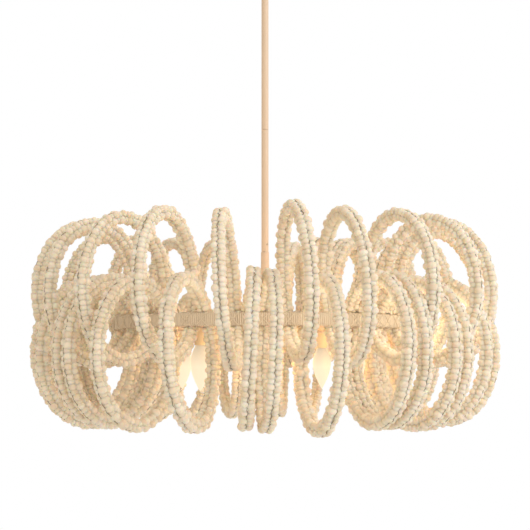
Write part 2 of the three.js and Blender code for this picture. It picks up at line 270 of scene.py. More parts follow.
class Surface(Graph):
    """A material: its Principled shader, given plain values by socket name, and the object coordinates"""

    def __init__(self, name, **values):
        self.material = bpy.data.materials.new(name)
        self.material.use_nodes = True
        super().__init__(self.material.node_tree)
        self.tree.nodes.clear()
        named = {socket.replace("_", " "): value for socket, value in values.items()}
        self.shader = self.node("ShaderNodeBsdfPrincipled", named)
        self.output = self.node("ShaderNodeOutputMaterial", {"Surface": self.shader.outputs[0]})
        self.place = self.node("ShaderNodeTexCoord").outputs["Object"]

    def link(self, name, value):
        self.tree.links.new(value, self.shader.inputs[name])

    def rough(self, share, low, high):
        self.link("Roughness", self.ramp(share, 0.0, 1.0, low, high))

    def bump(self, height, strength, distance):
        self.link("Normal", self.out("ShaderNodeBump", {"Height": height, "Strength": strength,
                                                       "Distance": distance}))


def colour(shade, strength=1.0):
    return (*[strength * part for part in shade], 1.0)


def bead_material(finish):
    """Whitewashed wood: every bead has its own shade, with worn patches and faint grain"""
    surface = Surface("whitewashed_beads", Subsurface_Weight=0.5, Subsurface_Radius=(1.0, 0.55, 0.28),
                      Subsurface_Scale=0.006)
    tint = surface.node("ShaderNodeAttribute", attribute_name="bead_tint").outputs["Fac"]
    shade = surface.blend(tint, colour(finish.bead_pale), colour(finish.bead_grey))
    worn = surface.times(surface.ramp(surface.noise(surface.place, 240.0), 0.5, 0.75), finish.wear)
    surface.link("Base Color", surface.blend(worn, shade, colour(finish.bead_wood)))
    surface.rough(surface.noise(surface.place, 400.0), 0.55, 0.75)
    surface.bump(surface.noise(surface.place, 1500.0, 2.0, (1.0, 1.0, 0.35)), 0.3, 0.0004)
    return surface.material


def fibre_material(name, shade, strands, groove_shade=0.7, tint_strength=None):
    """Twisted natural fibre, its grooves between the ridges darkened with painted shade, and where asked a
    tone of its own for each turn
    """
    surface = Surface(name, Roughness=0.8)
    twist_and_groove_shade = surface.ramp(surface.noise(surface.place, strands, 2.0, (1.0, 1.0, 0.5)), 0.3, 0.7)
    # Painted shade: where the twist's bump is low, in the grooves between the ridges, the colour falls to the
    # given share of the shade
    mixed = surface.shades(twist_and_groove_shade, shade, groove_shade, 1.0)
    if tint_strength:
        tint = surface.node("ShaderNodeAttribute", attribute_name="cord_tint").outputs["Fac"]
        mixed = surface.blend(tint, mixed, colour(shade, tint_strength))
    surface.link("Base Color", mixed)
    surface.bump(twist_and_groove_shade, 0.5, 0.0004)
    return surface.material


def thread_material(finish):
    """Dark waxed thread that laces the outer strands together"""
    return fibre_material("waxed_thread", finish.thread, 1800.0)


def core_material(finish):
    """Pale brown fibre between the strands"""
    return fibre_material("core_fibre", finish.core, 1400.0)


def wrap_material(finish):
    """Tan cord wound round the ring"""
    # The ring cord's grooves get lighter painted shade than the thread's and the core's
    return fibre_material("ring_cord", finish.wrap, 900.0, groove_shade=0.85, tint_strength=0.82)


def paint_material(finish):
    """Cream enamel, sprayed: a faint orange peel and slight unevenness"""
    surface = Surface("cream_enamel")
    surface.link("Base Color", surface.shades(surface.noise(surface.place, 9.0), finish.paint, 1.0, 0.93))
    surface.rough(surface.noise(surface.place, 60.0), 0.32, 0.48)
    surface.bump(surface.noise(surface.place, 700.0, 1.0), 0.08, 0.0003)
    return surface.material


def steel_material(finish):
    """Zinc-plated steel with soft spangle and scuffs"""
    surface = Surface("zinc_steel", Metallic=1.0)
    spangle = surface.node("ShaderNodeTexVoronoi", {"Vector": surface.place, "Scale": 160.0}).outputs["Color"]
    surface.link("Base Color", surface.shades(surface.parts(spangle)[0], finish.steel, 1.0, 0.8))
    surface.rough(surface.noise(surface.place, 220.0), 0.28, 0.5)
    surface.bump(surface.noise(surface.place, 900.0), 0.1, 0.0002)
    return surface.material


def sleeve_material(finish):
    """Ivory candle sleeve of fibre, with fine upright grain"""
    surface = Surface("ivory_sleeve", Roughness=0.6, Subsurface_Weight=0.1)
    grain = surface.noise(surface.place, 600.0, stretch=(1.0, 1.0, 0.12))
    surface.link("Base Color", surface.shades(grain, finish.sleeve, 1.0, 0.9))
    surface.bump(grain, 0.12, 0.0003)
    return surface.material


def bulb_material(finish):
    """Frosted glass, lit from inside: brightest low in the bulb, dimmer at the neck"""
    surface = Surface("frosted_bulb", Emission_Strength=finish.bulb_strength, Roughness=0.45)
    frost = surface.noise(surface.place, 500.0)
    neck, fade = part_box(HOLDER_NODES[0])[0].z, 0.035
    dimming = surface.ramp(surface.parts(surface.place)[2], neck - fade, neck)
    glow = surface.blend(dimming, surface.shades(frost, finish.bulb, 1.0, 0.9), colour(finish.bulb, 0.55))
    surface.link("Base Color", surface.shades(frost, finish.bulb, 0.12, 0.2))
    surface.link("Emission Color", glow)
    return surface.material


def brass_material(finish):
    """Brass screw cap, brushed round"""
    surface = Surface("cap_brass", Metallic=1.0)
    brushed = surface.noise(surface.place, 1200.0, stretch=(0.2, 0.2, 1.0))
    surface.link("Base Color", surface.shades(brushed, finish.brass, 1.0, 0.85))
    surface.rough(brushed, 0.25, 0.4)
    return surface.material


def floor_material(shade, near, far):
    """Pale matt ground with the object's shadow, which fades to the background's white at its rim"""
    surface = Surface("pale_floor", Base_Color=colour(shade))
    surface.rough(surface.noise(surface.place, 0.8), 0.85, 0.95)
    rim = surface.times(surface.ramp(surface.vector("LENGTH", surface.place), near, far), surface.seen())
    white = surface.out("ShaderNodeEmission", {"Color": WHITE, "Strength": 1.0})
    mix = surface.out("ShaderNodeMixShader", {0: rim, 1: surface.shader.outputs[0], 2: white})
    surface.tree.links.new(mix, surface.output.inputs["Surface"])
    return surface.material


MAKERS = {
    "beads": bead_material, "thread": thread_material, "core": core_material, "wrap": wrap_material,
    "paint": paint_material, "steel": steel_material, "sleeve": sleeve_material, "bulb": bulb_material,
    "brass": brass_material,
}
MADE = {}


def finish_of(name):
    """The material of that name, made once"""
    if name not in MADE:
        MADE[name] = MAKERS[name](bpy.context.scene.chandelier_finish)
    return MADE[name]


# Solids of turned, bent and drawn metal

def rounded(profile, radius, steps=4):
    """Rounds the inner corners of an open run of [radius, level] points"""
    points = [Vector(point) for point in profile]
    run = [points[0]]
    for before, corner, after in zip(points, points[1:], points[2:]):
        start = corner.lerp(before, min(0.5, radius / max((corner - before).length, radius)))
        end = corner.lerp(after, min(0.5, radius / max((corner - after).length, radius)))
        for step in range(steps + 1):
            share = step / steps
            run.append(start.lerp(corner, share).lerp(corner.lerp(end, share), share))
    run.append(points[-1])
    return [tuple(point) for point in run]


def drum(radius, start, end, edge, bore=0.0):
    """The run of a round bar, or of a tube with a bore, between two levels, its outer corners rounded"""
    return rounded([(bore, start), (radius, start), (radius, end), (bore, end)], edge)


def half_turn(start, steps):
    """Angles that go through half a turn from a start"""
    return [start + math.pi * step / steps for step in range(steps + 1)]


class Solid:
    """Gathers closed shapes, each in its finish, into one piece"""

    def __init__(self):
        self.mesh = bmesh.new()
        self.finishes = []

    def slot(self, finish):
        if finish not in self.finishes:
            self.finishes.append(finish)
        return self.finishes.index(finish)

    def rings(self, rings, finish, closed=False, caps=True):
        """Skins rings of points; a ring of one point is a pole"""
        made = [[self.mesh.verts.new(point) for point in ring] for ring in rings]
        pairs = list(zip(made, made[1:])) + ([(made[-1], made[0])] if closed else [])
        faces = []
        for low, high in pairs:
            count = max(len(low), len(high))
            for i in range(count):
                following = (i + 1) % count
                corners = [low[i % len(low)], low[following % len(low)], high[following % len(high)],
                           high[i % len(high)]]
                corners = list(dict.fromkeys(corners))
                faces.append(self.mesh.faces.new(corners))
        if caps and not closed:
            faces += [self.mesh.faces.new(ring) for ring in (made[0], made[-1]) if len(ring) > 2]
        self.coat(faces, finish)

    def coat(self, faces, finish):
        for face in faces:
            face.material_index = self.slot(finish)
            face.smooth = True

    def add(self, shape, finish):
        """Takes over the faces of another bmesh, which is freed"""
        shell = bpy.data.meshes.new("shell")
        shape.to_mesh(shell)
        shape.free()
        first = len(self.mesh.faces)
        self.mesh.from_mesh(shell)
        self.mesh.faces.ensure_lookup_table()
        self.coat(self.mesh.faces[first:], finish)
        bpy.data.meshes.remove(shell)

    def turned(self, profile, finish, place=None, segments=64, closed=False):
        """Turns a run of [radius, level] points about Z, then puts it in its place"""
        place = place or Matrix.Identity(4)
        rings = []
        for radius, level in profile:
            count = segments if radius > 0 else 1
            angles = [2 * math.pi * i / segments for i in range(count)]
            rings.append([place @ Vector((radius * math.cos(a), radius * math.sin(a), level))
                          for a in angles])
        self.rings(rings, finish, closed=closed)

    def bar(self, start, end, radius, finish, segments=24, edge=0.0):
        """A round bar between two points, its edges eased"""
        start, end = Vector(start), Vector(end)
        length = (end - start).length
        place = Matrix.Translation(start) @ (end - start).to_track_quat("Z", "Y").to_matrix().to_4x4()
        profile = [(0.0, 0.0), (radius, 0.0), (radius, length), (0.0, length)]
        self.turned(rounded(profile, edge) if edge else profile, finish, place, segments)

    def extruded(self, outline, low, high, finish, place=None):
        """Raises a flat outline between two levels"""
        place = place or Matrix.Identity(4)
        rings = [[place @ Vector((x, y, level)) for x, y in outline] for level in (low, high)]
        self.rings(rings, finish)

    def piece(self, name, body, slot, nodes, sharp_angle=math.radians(32)):
        bmesh.ops.recalc_face_normals(self.mesh, faces=self.mesh.faces)
        mesh = bpy.data.meshes.new(name)
        self.mesh.to_mesh(mesh)
        self.mesh.free()
        mesh.set_sharp_from_angle(angle=sharp_angle)
        for finish in self.finishes:
            mesh.materials.append(finish_of(finish))
        return hand_over(mesh, name, body, nodes)


def hand_over(mesh, name, body, nodes):
    """Links a finished mesh as a piece that rides on its body and stands for its nodes"""
    piece = bpy.data.objects.new(name, mesh)
    bpy.context.scene.collection.objects.link(piece)
    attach(piece, body)
    if nodes:
        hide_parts(*nodes)
    return piece


# Settings

def measure(name, description, default):
    """A setting in the scene's unit of length"""
    return FloatProperty(name=name, description=description, default=default, unit="LENGTH")


def amount(name, description, default):
    """A setting that is a plain number"""
    return FloatProperty(name=name, description=description, default=default)


def tone(name, description, default):
    """A setting that is a colour"""
    return FloatVectorProperty(name=name, description=description, default=default, subtype="COLOR")


class ChandelierSizes(bpy.types.PropertyGroup):
    """Sizes of the beads, their rows and the cords"""
    pitch: measure("Bead pitch", "Distance from bead to bead along a strand", 0.0083)
    bead_share: amount("Bead width", "Bead width as a share of half the rope", 1.3)
    spread: amount("Strand spread", "From the rope's middle to a strand, as a share of half the rope", 0.45)
    squash: amount("Bead length", "Bead length as a share of the pitch", 1.46)
    jitter: amount("Bead unevenness", "Share by which beads differ", 0.13)
    stray: measure("Bead stray", "How far a bead stands out of its row", 0.0006)
    proud: measure("Proud beads", "How far every second bead stands out of its strand", 0.0004)
    wobble: measure("Hoop wobble", "How far a hoop strays from a true oval", 0.0022)
    core: measure("Core", "Radius of the fibre between the strands", 0.0080)
    thread: measure("Thread", "Radius of the thread that laces the strands", 0.00045)
    wrap: measure("Ring cord", "Radius of the cord wound round the ring", 0.0017)
    tie: measure("Tie cord", "Radius of the cord that ties a hoop to the ring", 0.0007)
    seed: IntProperty(name="Seed", description="Seed of the bead pattern", default=7)


class ChandelierFinish(bpy.types.PropertyGroup):
    """Colours of the beads, the cords, the paint, the metals and the lamps"""
    bead_pale: tone("Pale bead", "Colour of the palest beads", (0.86, 0.78, 0.66))
    bead_grey: tone("Grey bead", "Colour of the greyest beads", (0.76, 0.66, 0.52))
    bead_wood: tone("Worn wood", "Wood where the whitewash is worn", (0.68, 0.49, 0.29))
    wear: amount("Wear", "How far the whitewash is worn off", 0.4)
    thread: tone("Thread", "Colour of the lacing thread", (0.28, 0.20, 0.12))
    core: tone("Core fibre", "Colour of the fibre between the strands", (0.84, 0.70, 0.52))
    wrap: tone("Ring cord", "Colour of the cord wound round the ring", (0.78, 0.69, 0.56))
    paint: tone("Paint", "Colour of the cream enamel", (0.72, 0.56, 0.41))
    steel: tone("Steel", "Colour of the plated steel", (0.62, 0.60, 0.57))
    sleeve: tone("Sleeve", "Colour of the candle sleeves", (0.66, 0.57, 0.42))
    brass: tone("Brass", "Colour of the nipple, the stub and the bulbs' caps", (0.72, 0.55, 0.27))
    bulb: tone("Bulb", "Colour of the lit bulbs", (1.0, 0.84, 0.60))
    bulb_strength: amount("Bulb strength", "Brightness of the lit bulbs", 0.92)


class ChandelierStage(bpy.types.PropertyGroup):
    """Camera, floor and lights of the plain studio"""
    lens: amount("Lens", "Focal length for a 36 mm sensor, in millimetres", 91.7)
    distance: measure("Distance", "From the stem's axis to the camera", 2.403)
    below: measure("Below the ring", "How far the camera lies below the carrier", 0.0773)
    tilt: FloatProperty(name="Tilt", description="How far the camera looks up", default=math.radians(4.35),
                        subtype="ANGLE")
    floor_drop: measure("Floor drop", "From the lowest bead to the floor", 2.0)
    ambient: amount("Ambient", "Light from all round", 0.95)
    lean: amount("Lean", "By how much that light is stronger from the right", 0.35)
    key: amount("Key", "Power of the large light at the right, in watts", 17.0)
    fill: amount("Fill", "Power of the large light at the left, in watts", 5.0)
    glow: amount("Glow", "Power of each warm light between the lamps, in watts", 0.16)
    spill: amount("Spill", "Power of each warm light among the hoops, in watts", 0.045)
    spill_colour: tone("Spill colour", "Colour of the light among the hoops", (1.0, 0.84, 0.62))
    glow_colour: tone("Glow colour", "Colour of the lamps' light", (1.0, 0.55, 0.19))


# Hoops

def hoop_place(node):
    """A hoop's centre and axes, as a matrix: outward, along its own axis and upright; and its half sizes"""
    points = np.array([vertex.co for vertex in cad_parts[node].data.vertices])
    points = np.unique(np.round(points, 5), axis=0)
    centre = points.mean(0)
    _, directions = np.linalg.eigh(np.cov((points - centre).T))
    outward, upright = Vector(directions[:, 1]), Vector(directions[:, 2])
    if upright.z < 0:
        upright.negate()
    if outward.dot(Vector(centre)) < 0:
        outward.negate()
    along = upright.cross(outward)
    axes = (outward, along, upright)
    half = [max(abs(Vector(point - centre).dot(axis)) for point in points) for axis in axes]
    turn = Matrix(axes).transposed().to_4x4()
    return Matrix.Translation(Vector(centre)) @ turn, half


def hoop_sizes(half):
    """Half width and height on the rope's middle, and half the rope, from the node's half sizes"""
    rope = half[1]
    return (half[0] - rope) * math.cos(math.pi / HOOP_FACETS), half[2] - rope, rope


def all_hoops():
    """Every hoop's name, place, half sizes and the node that it stands for, if it has one"""
    for node in HOOP_NODES:
        yield "beads_" + node, *hoop_place(node), [node]
    for number, (neighbour, turn) in enumerate(FURTHER_HOOPS, 1):
        place, half = hoop_place(neighbour)
        place = Matrix.Rotation(math.radians(turn), 4, "Z") @ place
        yield f"beads_further_hoop_{number:02d}", place, half, []


def hoop_tree():
    """Four strands of beads side by side round an oval, laced with thread over a fibre core"""
    g = Shapes("Beaded hoop", Float=(
        "Half Width", "Half Height", "Bead", "Pitch", "Bead Width", "Bead Length", "Spread", "Unevenness",
        "Stray", "Proud", "Wobble", "Core", "Thread",
    ), Int=("Seed",), Material=("Bead Finish", "Core Finish", "Thread Finish"))
    size = g.size
    path_steps, wobble_scale, wobble_seed = 96, 1.3, 3.7
    bead_segments, bead_rings, draws_each = 10, 5, 5
    swell, out_of_round, tilt, spin = 0.05, 0.06, 0.2, 6.28
    inner_lace, outer_lace, zigzag, lace_draw = -0.86, 0.89, 0.15, 29
    thread_sides, core_sides = 4, 6

    def random(low, high, draw, kind="FLOAT"):
        return g.random(low, high, g.math("ADD", g.times(size["Seed"], 17.0), draw), kind)

    def strays(draw):
        return g.scaled(random((-1.0, -1.0, -1.0), (1.0, 1.0, 1.0), draw, "FLOAT_VECTOR"), size["Stray"])

    def outwards(across, up):
        """The way out of the oval, from shares of its half sizes"""
        return g.vector("NORMALIZE", g.xyz(g.times(across, size["Half Height"]), 0.0,
                                           g.times(up, size["Half Width"])))

    def alternating():
        """1 and -1 by turns from point to point"""
        odd = g.math("MODULO", g.out("GeometryNodeInputIndex"), 2.0)
        return g.math("SUBTRACT", g.times(odd, 2.0), 1.0)

    def even_count(path):
        """The even number of beads that fits a path"""
        length = g.out("GeometryNodeCurveLength", {"Curve": path})
        pairs = g.math("ROUND", g.math("DIVIDE", length, g.times(size["Pitch"], 2.0)))
        return g.times(pairs, 2.0)

    def oval(out, side, half_step=False):
        """A path out of the hoop and along its axis from the rope's middle, in halves of the rope"""
        circle = g.circle(path_steps, 1.0)
        if half_step:
            lag = g.math("DIVIDE", g.times(size["Pitch"], 0.5), size["Half Height"])
            circle = g.turned(circle, g.xyz(0.0, 0.0, lag))
        place = g.place()
        across, up, _ = g.parts(place)
        middle = g.xyz(g.times(across, size["Half Width"]), 0.0, g.times(up, size["Half Height"]))
        outward = g.scaled(outwards(across, up), g.times(size["Bead"], out))
        sideways = g.xyz(0.0, g.times(size["Bead"], side), 0.0)
        wobble = g.node("ShaderNodeTexNoise", {
            "Vector": place, "W": g.times(size["Seed"], wobble_seed), "Scale": wobble_scale,
        }, noise_dimensions="4D").outputs["Color"]
        wobble = g.scaled(g.vector("SUBTRACT", wobble, (0.5, 0.5, 0.5)), g.times(size["Wobble"], 2.0))
        whole = g.vector("ADD", g.vector("ADD", middle, outward), g.vector("ADD", sideways, wobble))
        return g.moved(circle, Position=whole)

    def strand(out, side, draw):
        """One strand of uneven beads, every second one a little larger and further out"""
        path = oval(g.times(size["Spread"], out), g.times(size["Spread"], side), half_step=side < 0)
        points = g.node("GeometryNodeCurveToPoints", {"Curve": path, "Count": even_count(path)},
                        mode="COUNT").outputs
        across, _, up = g.parts(g.place())
        away = outwards(g.math("DIVIDE", across, size["Half Width"]),
                        g.math("DIVIDE", up, size["Half Height"]))
        away = g.vector("ADD", g.scaled(away, out), (0.0, side, 0.0))
        away = g.scaled(away, g.times(alternating(), size["Proud"]))
        spots = g.moved(points["Points"], Offset=g.vector("ADD", strays(draw + 4), away))
        facing = g.out("FunctionNodeAlignRotationToVector", {"Vector": points["Tangent"]}, axis="Z")
        tilted = random((-tilt, -tilt, 0.0), (tilt, tilt, spin), draw + 1, "FLOAT_VECTOR")
        facing = g.out("FunctionNodeRotateRotation", {
            "Rotation": facing, "Rotate By": g.out("FunctionNodeEulerToRotation", {0: tilted}),
        }, rotation_space="LOCAL")
        larger = g.math("ADD", random(less, more, draw), g.times(alternating(), swell))
        uneven = random([1.0 - out_of_round] * 3, [1.0 + out_of_round] * 3, draw + 2, "FLOAT_VECTOR")
        extent = g.scaled(g.vector("MULTIPLY", uneven, g.xyz(wide, wide, long)), larger)
        beads = g.instances(spots, ball, facing, Scale=extent)
        return g.stored(beads, "bead_tint", random(0.0, 1.0, draw + 3), "FLOAT", "INSTANCE")

    def lacing(out):
        """A thread that crosses the groove between two strands from bead to bead"""
        path = oval(out, 0.0)
        path = g.out("GeometryNodeResampleCurve", {"Curve": path, "Count": even_count(path)})
        aside = g.xyz(0.0, g.times(g.times(alternating(), size["Bead"]), zigzag), 0.0)
        path = g.moved(path, Offset=g.vector("ADD", aside, strays(lace_draw)))
        return g.tube(path, thread_sides, size["Thread"])

    def marked(geometry, name):
        return g.stored(geometry, name, True, "BOOLEAN", "FACE")

    ball = g.smooth(g.out("GeometryNodeMeshUVSphere",
                          {"Segments": bead_segments, "Rings": bead_rings, "Radius": 0.5}))
    wide = g.times(size["Bead"], size["Bead Width"])
    long = g.times(size["Pitch"], size["Bead Length"])
    less = g.math("SUBTRACT", 1.0, size["Unevenness"])
    more = g.math("ADD", 1.0, size["Unevenness"])
    corners = ((1.0, 1.0), (1.0, -1.0), (-1.0, 1.0), (-1.0, -1.0))
    strands = [strand(out, side, draws_each * number) for number, (out, side) in enumerate(corners)]
    core = marked(g.tube(oval(0.0, 0.0), core_sides, size["Core"]), "is_core")
    inner = marked(lacing(inner_lace), "is_core")
    outer = marked(lacing(outer_lace), "is_thread")
    whole = g.painted(g.realized(g.join([*strands, core, inner, outer])), "Bead Finish")
    for name, finish in (("is_core", "Core Finish"), ("is_thread", "Thread Finish")):
        chosen = g.out("GeometryNodeInputNamedAttribute", {"Name": name}, data_type="BOOLEAN")
        whole = g.painted(whole, finish, Selection=chosen)
    g.end(whole)
    return g


class CHANDELIER_OT_hoops(bpy.types.Operator):
    """Strings the beads of every hoop"""
    bl_idname = "chandelier.hoops"
    bl_label = "Beaded hoops"

    def execute(self, context):
        sizes = context.scene.chandelier_sizes
        tree = hoop_tree()
        for number, (name, place, half, nodes) in enumerate(all_hoops()):
            half_width, half_height, rope = hoop_sizes(half)
            mesh = tree.grow({
                "Half Width": half_width, "Half Height": half_height, "Bead": rope, "Pitch": sizes.pitch,
                "Bead Width": sizes.bead_share, "Bead Length": sizes.squash, "Spread": sizes.spread,
                "Unevenness": sizes.jitter, "Stray": sizes.stray, "Proud": sizes.proud,
                "Wobble": sizes.wobble, "Core": sizes.core, "Thread": sizes.thread,
                "Seed": sizes.seed + number, "Bead Finish": finish_of("beads"),
                "Core Finish": finish_of("core"), "Thread Finish": finish_of("thread"),
            })
            mesh.transform(place)
            hand_over(mesh, name, HANGING, nodes)
        return {"FINISHED"}


# Cords on the ring

def wrap_tree():
    """Turns of cord side by side round the ring's section"""
    g = Shapes("Ring wrap", Float=("Radius", "Thickness", "Height", "Cord"), Int=("Seed",),
               Material=("Finish",))
    size = g.size
    path_steps, cord_sides, corner_steps, corner_share, slant = 96, 5, 2, 0.45, 0.012
    around = g.times(size["Radius"], 2 * math.pi)
    count = g.math("FLOOR", g.math("DIVIDE", around, g.times(size["Cord"], 2.0)))
    path = g.circle(path_steps, size["Radius"])
    points = g.out("GeometryNodeCurveToPoints", {"Curve": path, "Count": count}, mode="COUNT")
    turn = g.loop(size["Thickness"], size["Height"], g.times(size["Thickness"], corner_share), corner_steps)
    turn = g.smooth(g.tube(g.turned(turn, (math.pi / 2, 0.0, 0.0)), cord_sides, size["Cord"]))
    turns = g.instances(points, turn, g.bearing(g.random(-slant, slant, size["Seed"])))
    tint = g.random(0.0, 1.0, g.math("ADD", size["Seed"], 1.0))
    turns = g.stored(turns, "cord_tint", tint, "FLOAT", "INSTANCE")
    g.end(g.painted(g.realized(turns), "Finish"))
    return g


class CHANDELIER_OT_wrap(bpy.types.Operator):
    """Winds cord round the carrier ring"""
    bl_idname = "chandelier.wrap"
    bl_label = "Ring wrap"

    def execute(self, context):
        sizes = context.scene.chandelier_sizes
        mesh = wrap_tree().grow({
            "Radius": CARRIER_MIDDLE, "Thickness": CARRIER_THICKNESS - 2 * sizes.wrap,
            "Height": CARRIER_HEIGHT, "Cord": sizes.wrap, "Seed": sizes.seed, "Finish": finish_of("wrap"),
        })
        mesh.transform(Matrix.Translation((0, 0, CARRIER_LEVEL)))
        hand_over(mesh, "ring_wrap", HANGING, [])
        return {"FINISHED"}


def tie_tree():
    """Two crossed loops of cord at each point, facing away from the stem"""
    g = Shapes("Hoop ties", Geometry=("Points",), Float=("Depth", "Reach", "Slant", "Cord"),
               Material=("Finish",))
    size = g.size
    cord_sides, corner_steps, corner_share = 6, 5, 0.22
    loops = []
    for side in (-1.0, 1.0):
        apart = g.times(size["Cord"], 1.0 + side)
        loop = g.loop(g.math("ADD", size["Depth"], apart), g.math("ADD", size["Reach"], apart),
                      g.times(size["Depth"], corner_share), corner_steps)
        loop = g.turned(loop, g.xyz(g.times(size["Slant"], side), 0.0, 0.0))
        loops.append(g.tube(loop, cord_sides, size["Cord"]))
    ties = g.instances(size["Points"], g.join(loops), g.bearing())
    g.end(g.painted(g.smooth(g.realized(ties)), "Finish"))
    return g


class CHANDELIER_OT_ties(bpy.types.Operator):
    """Ties every hoop to the carrier ring with crossed cord"""
    bl_idname = "chandelier.ties"
    bl_label = "Ties"

    def execute(self, context):
        sizes = context.scene.chandelier_sizes
        cord = sizes.tie
        spots = []
        for _, place, half, _ in all_hoops():
            half_width, half_height, rope = hoop_sizes(half)
            level = CARRIER_LEVEL - place.translation.z
            across = -half_width * math.sqrt(1.0 - (level / half_height) ** 2)
            seat = (place @ Vector((across, 0.0, level))).to_2d()
            inner_face = seat.length - rope
            depth = CARRIER_OUTER - inner_face + 2 * cord
            radius = inner_face + depth / 2 - cord
            spots.append((*(seat.normalized() * radius), CARRIER_LEVEL))
        # Every hoop is seated alike, so the last one's depth serves all the ties
        wide, high = rope + cord, CARRIER_HEIGHT / 2 + sizes.wrap + cord
        mesh = tie_tree().grow({
            "Depth": depth, "Reach": 2 * math.hypot(wide, high), "Slant": math.atan2(high, wide),
            "Cord": cord, "Finish": finish_of("wrap"),
        }, spots)
        hand_over(mesh, "hoop_ties", HANGING, [])
        return {"FINISHED"}


# Carrier, stem and lamps

class CHANDELIER_OT_carrier(bpy.types.Operator):
    """Welds the ring, the arms, the lamp pads and the hub with its finial"""
    bl_idname = "chandelier.carrier"
    bl_label = "Carrier"

    hub_radius = 0.030
    arm_radius = 0.004

    def execute(self, context):
        solid = Solid()
        self.ring(solid, context.scene.chandelier_sizes.wrap)
        self.hub(solid)
        for node in HOLDER_NODES:
            self.arm(solid, node)
        solid.piece("carrier_frame", HANGING, "cream_paint", ["carrier"])
        return {"FINISHED"}

    def ring(self, solid, cord):
        """The ring's steel, which stays under the wound cord"""
        half, edge, under = CARRIER_HEIGHT / 2, 0.0014, cord * 1.2
        inner, outer = CARRIER_INNER + under, CARRIER_OUTER - under
        band = rounded([(CARRIER_MIDDLE, -half), (outer, -half), (outer, half), (inner, half), (inner, -half),
                        (CARRIER_MIDDLE, -half)], edge)
        level = Matrix.Translation((0, 0, CARRIER_LEVEL))
        solid.turned(band[:-1], "paint", level, segments=160, closed=True)

    def hub(self, solid):
        half, hub_edge = CARRIER_HEIGHT / 2, 0.0025
        radius, drop, edge = 0.011, 0.024, 0.004
        neck, nipple = radius * 0.5, STEM_RADIUS * 0.76
        hub = rounded([(0.0, half), (self.hub_radius, half), (self.hub_radius, -half), (neck, -half)],
                      hub_edge)
        finial = rounded([(neck, -half - drop * 0.1), (radius, -half - drop * 0.5),
                          (neck, -half - drop * 0.89), (0.0, -half - drop)], edge)
        solid.turned(hub + finial, "paint", Matrix.Translation((0, 0, CARRIER_LEVEL)))
        solid.bar((0, 0, CARRIER_LEVEL + half), (0, 0, CARRIER_HIGH.z), nipple, "brass")

    def arm(self, solid, node):
        """One arm from the hub to the ring, with the pad that its lampholder hangs from"""
        low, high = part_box(node)
        lamp = ((low + high) / 2).to_2d()
        outwards = lamp.normalized()
        start = (*(outwards * self.hub_radius * 0.8), CARRIER_LEVEL)
        end = (*(outwards * CARRIER_MIDDLE), CARRIER_LEVEL)
        solid.bar(start, end, self.arm_radius, "paint")
        pad_radius, pad_rise, pad_edge = 0.011, 0.004, 0.0015
        top = self.arm_radius + pad_rise
        place = Matrix.Translation((*lamp, CARRIER_LEVEL))
        solid.turned(drum(pad_radius, -top, top, pad_edge), "paint", place, segments=40)
        for distance, radius in ((self.hub_radius, 0.0058), (CARRIER_INNER, 0.0056)):
            self.weld(solid, outwards, distance, radius)

    def weld(self, solid, outwards, distance, radius):
        """A small bead of weld round an arm where it meets the hub or the ring"""
        inward = -1.0 if distance > CARRIER_INNER / 2 else 1.0
        centre = Vector((*(outwards * distance), CARRIER_LEVEL))
        run = Vector((*(outwards * inward), 0.0))
        place = Matrix.Translation(centre) @ run.to_track_quat("Z", "Y").to_matrix().to_4x4()
        bore, shoulder, toe = self.arm_radius * 0.9, radius * 0.93, self.arm_radius * 1.1
        profile = [(bore, -0.001), (radius, -0.001), (shoulder, 0.0006), (toe, 0.002), (bore, 0.0026)]
        solid.turned(profile, "paint", place, segments=20, closed=True)


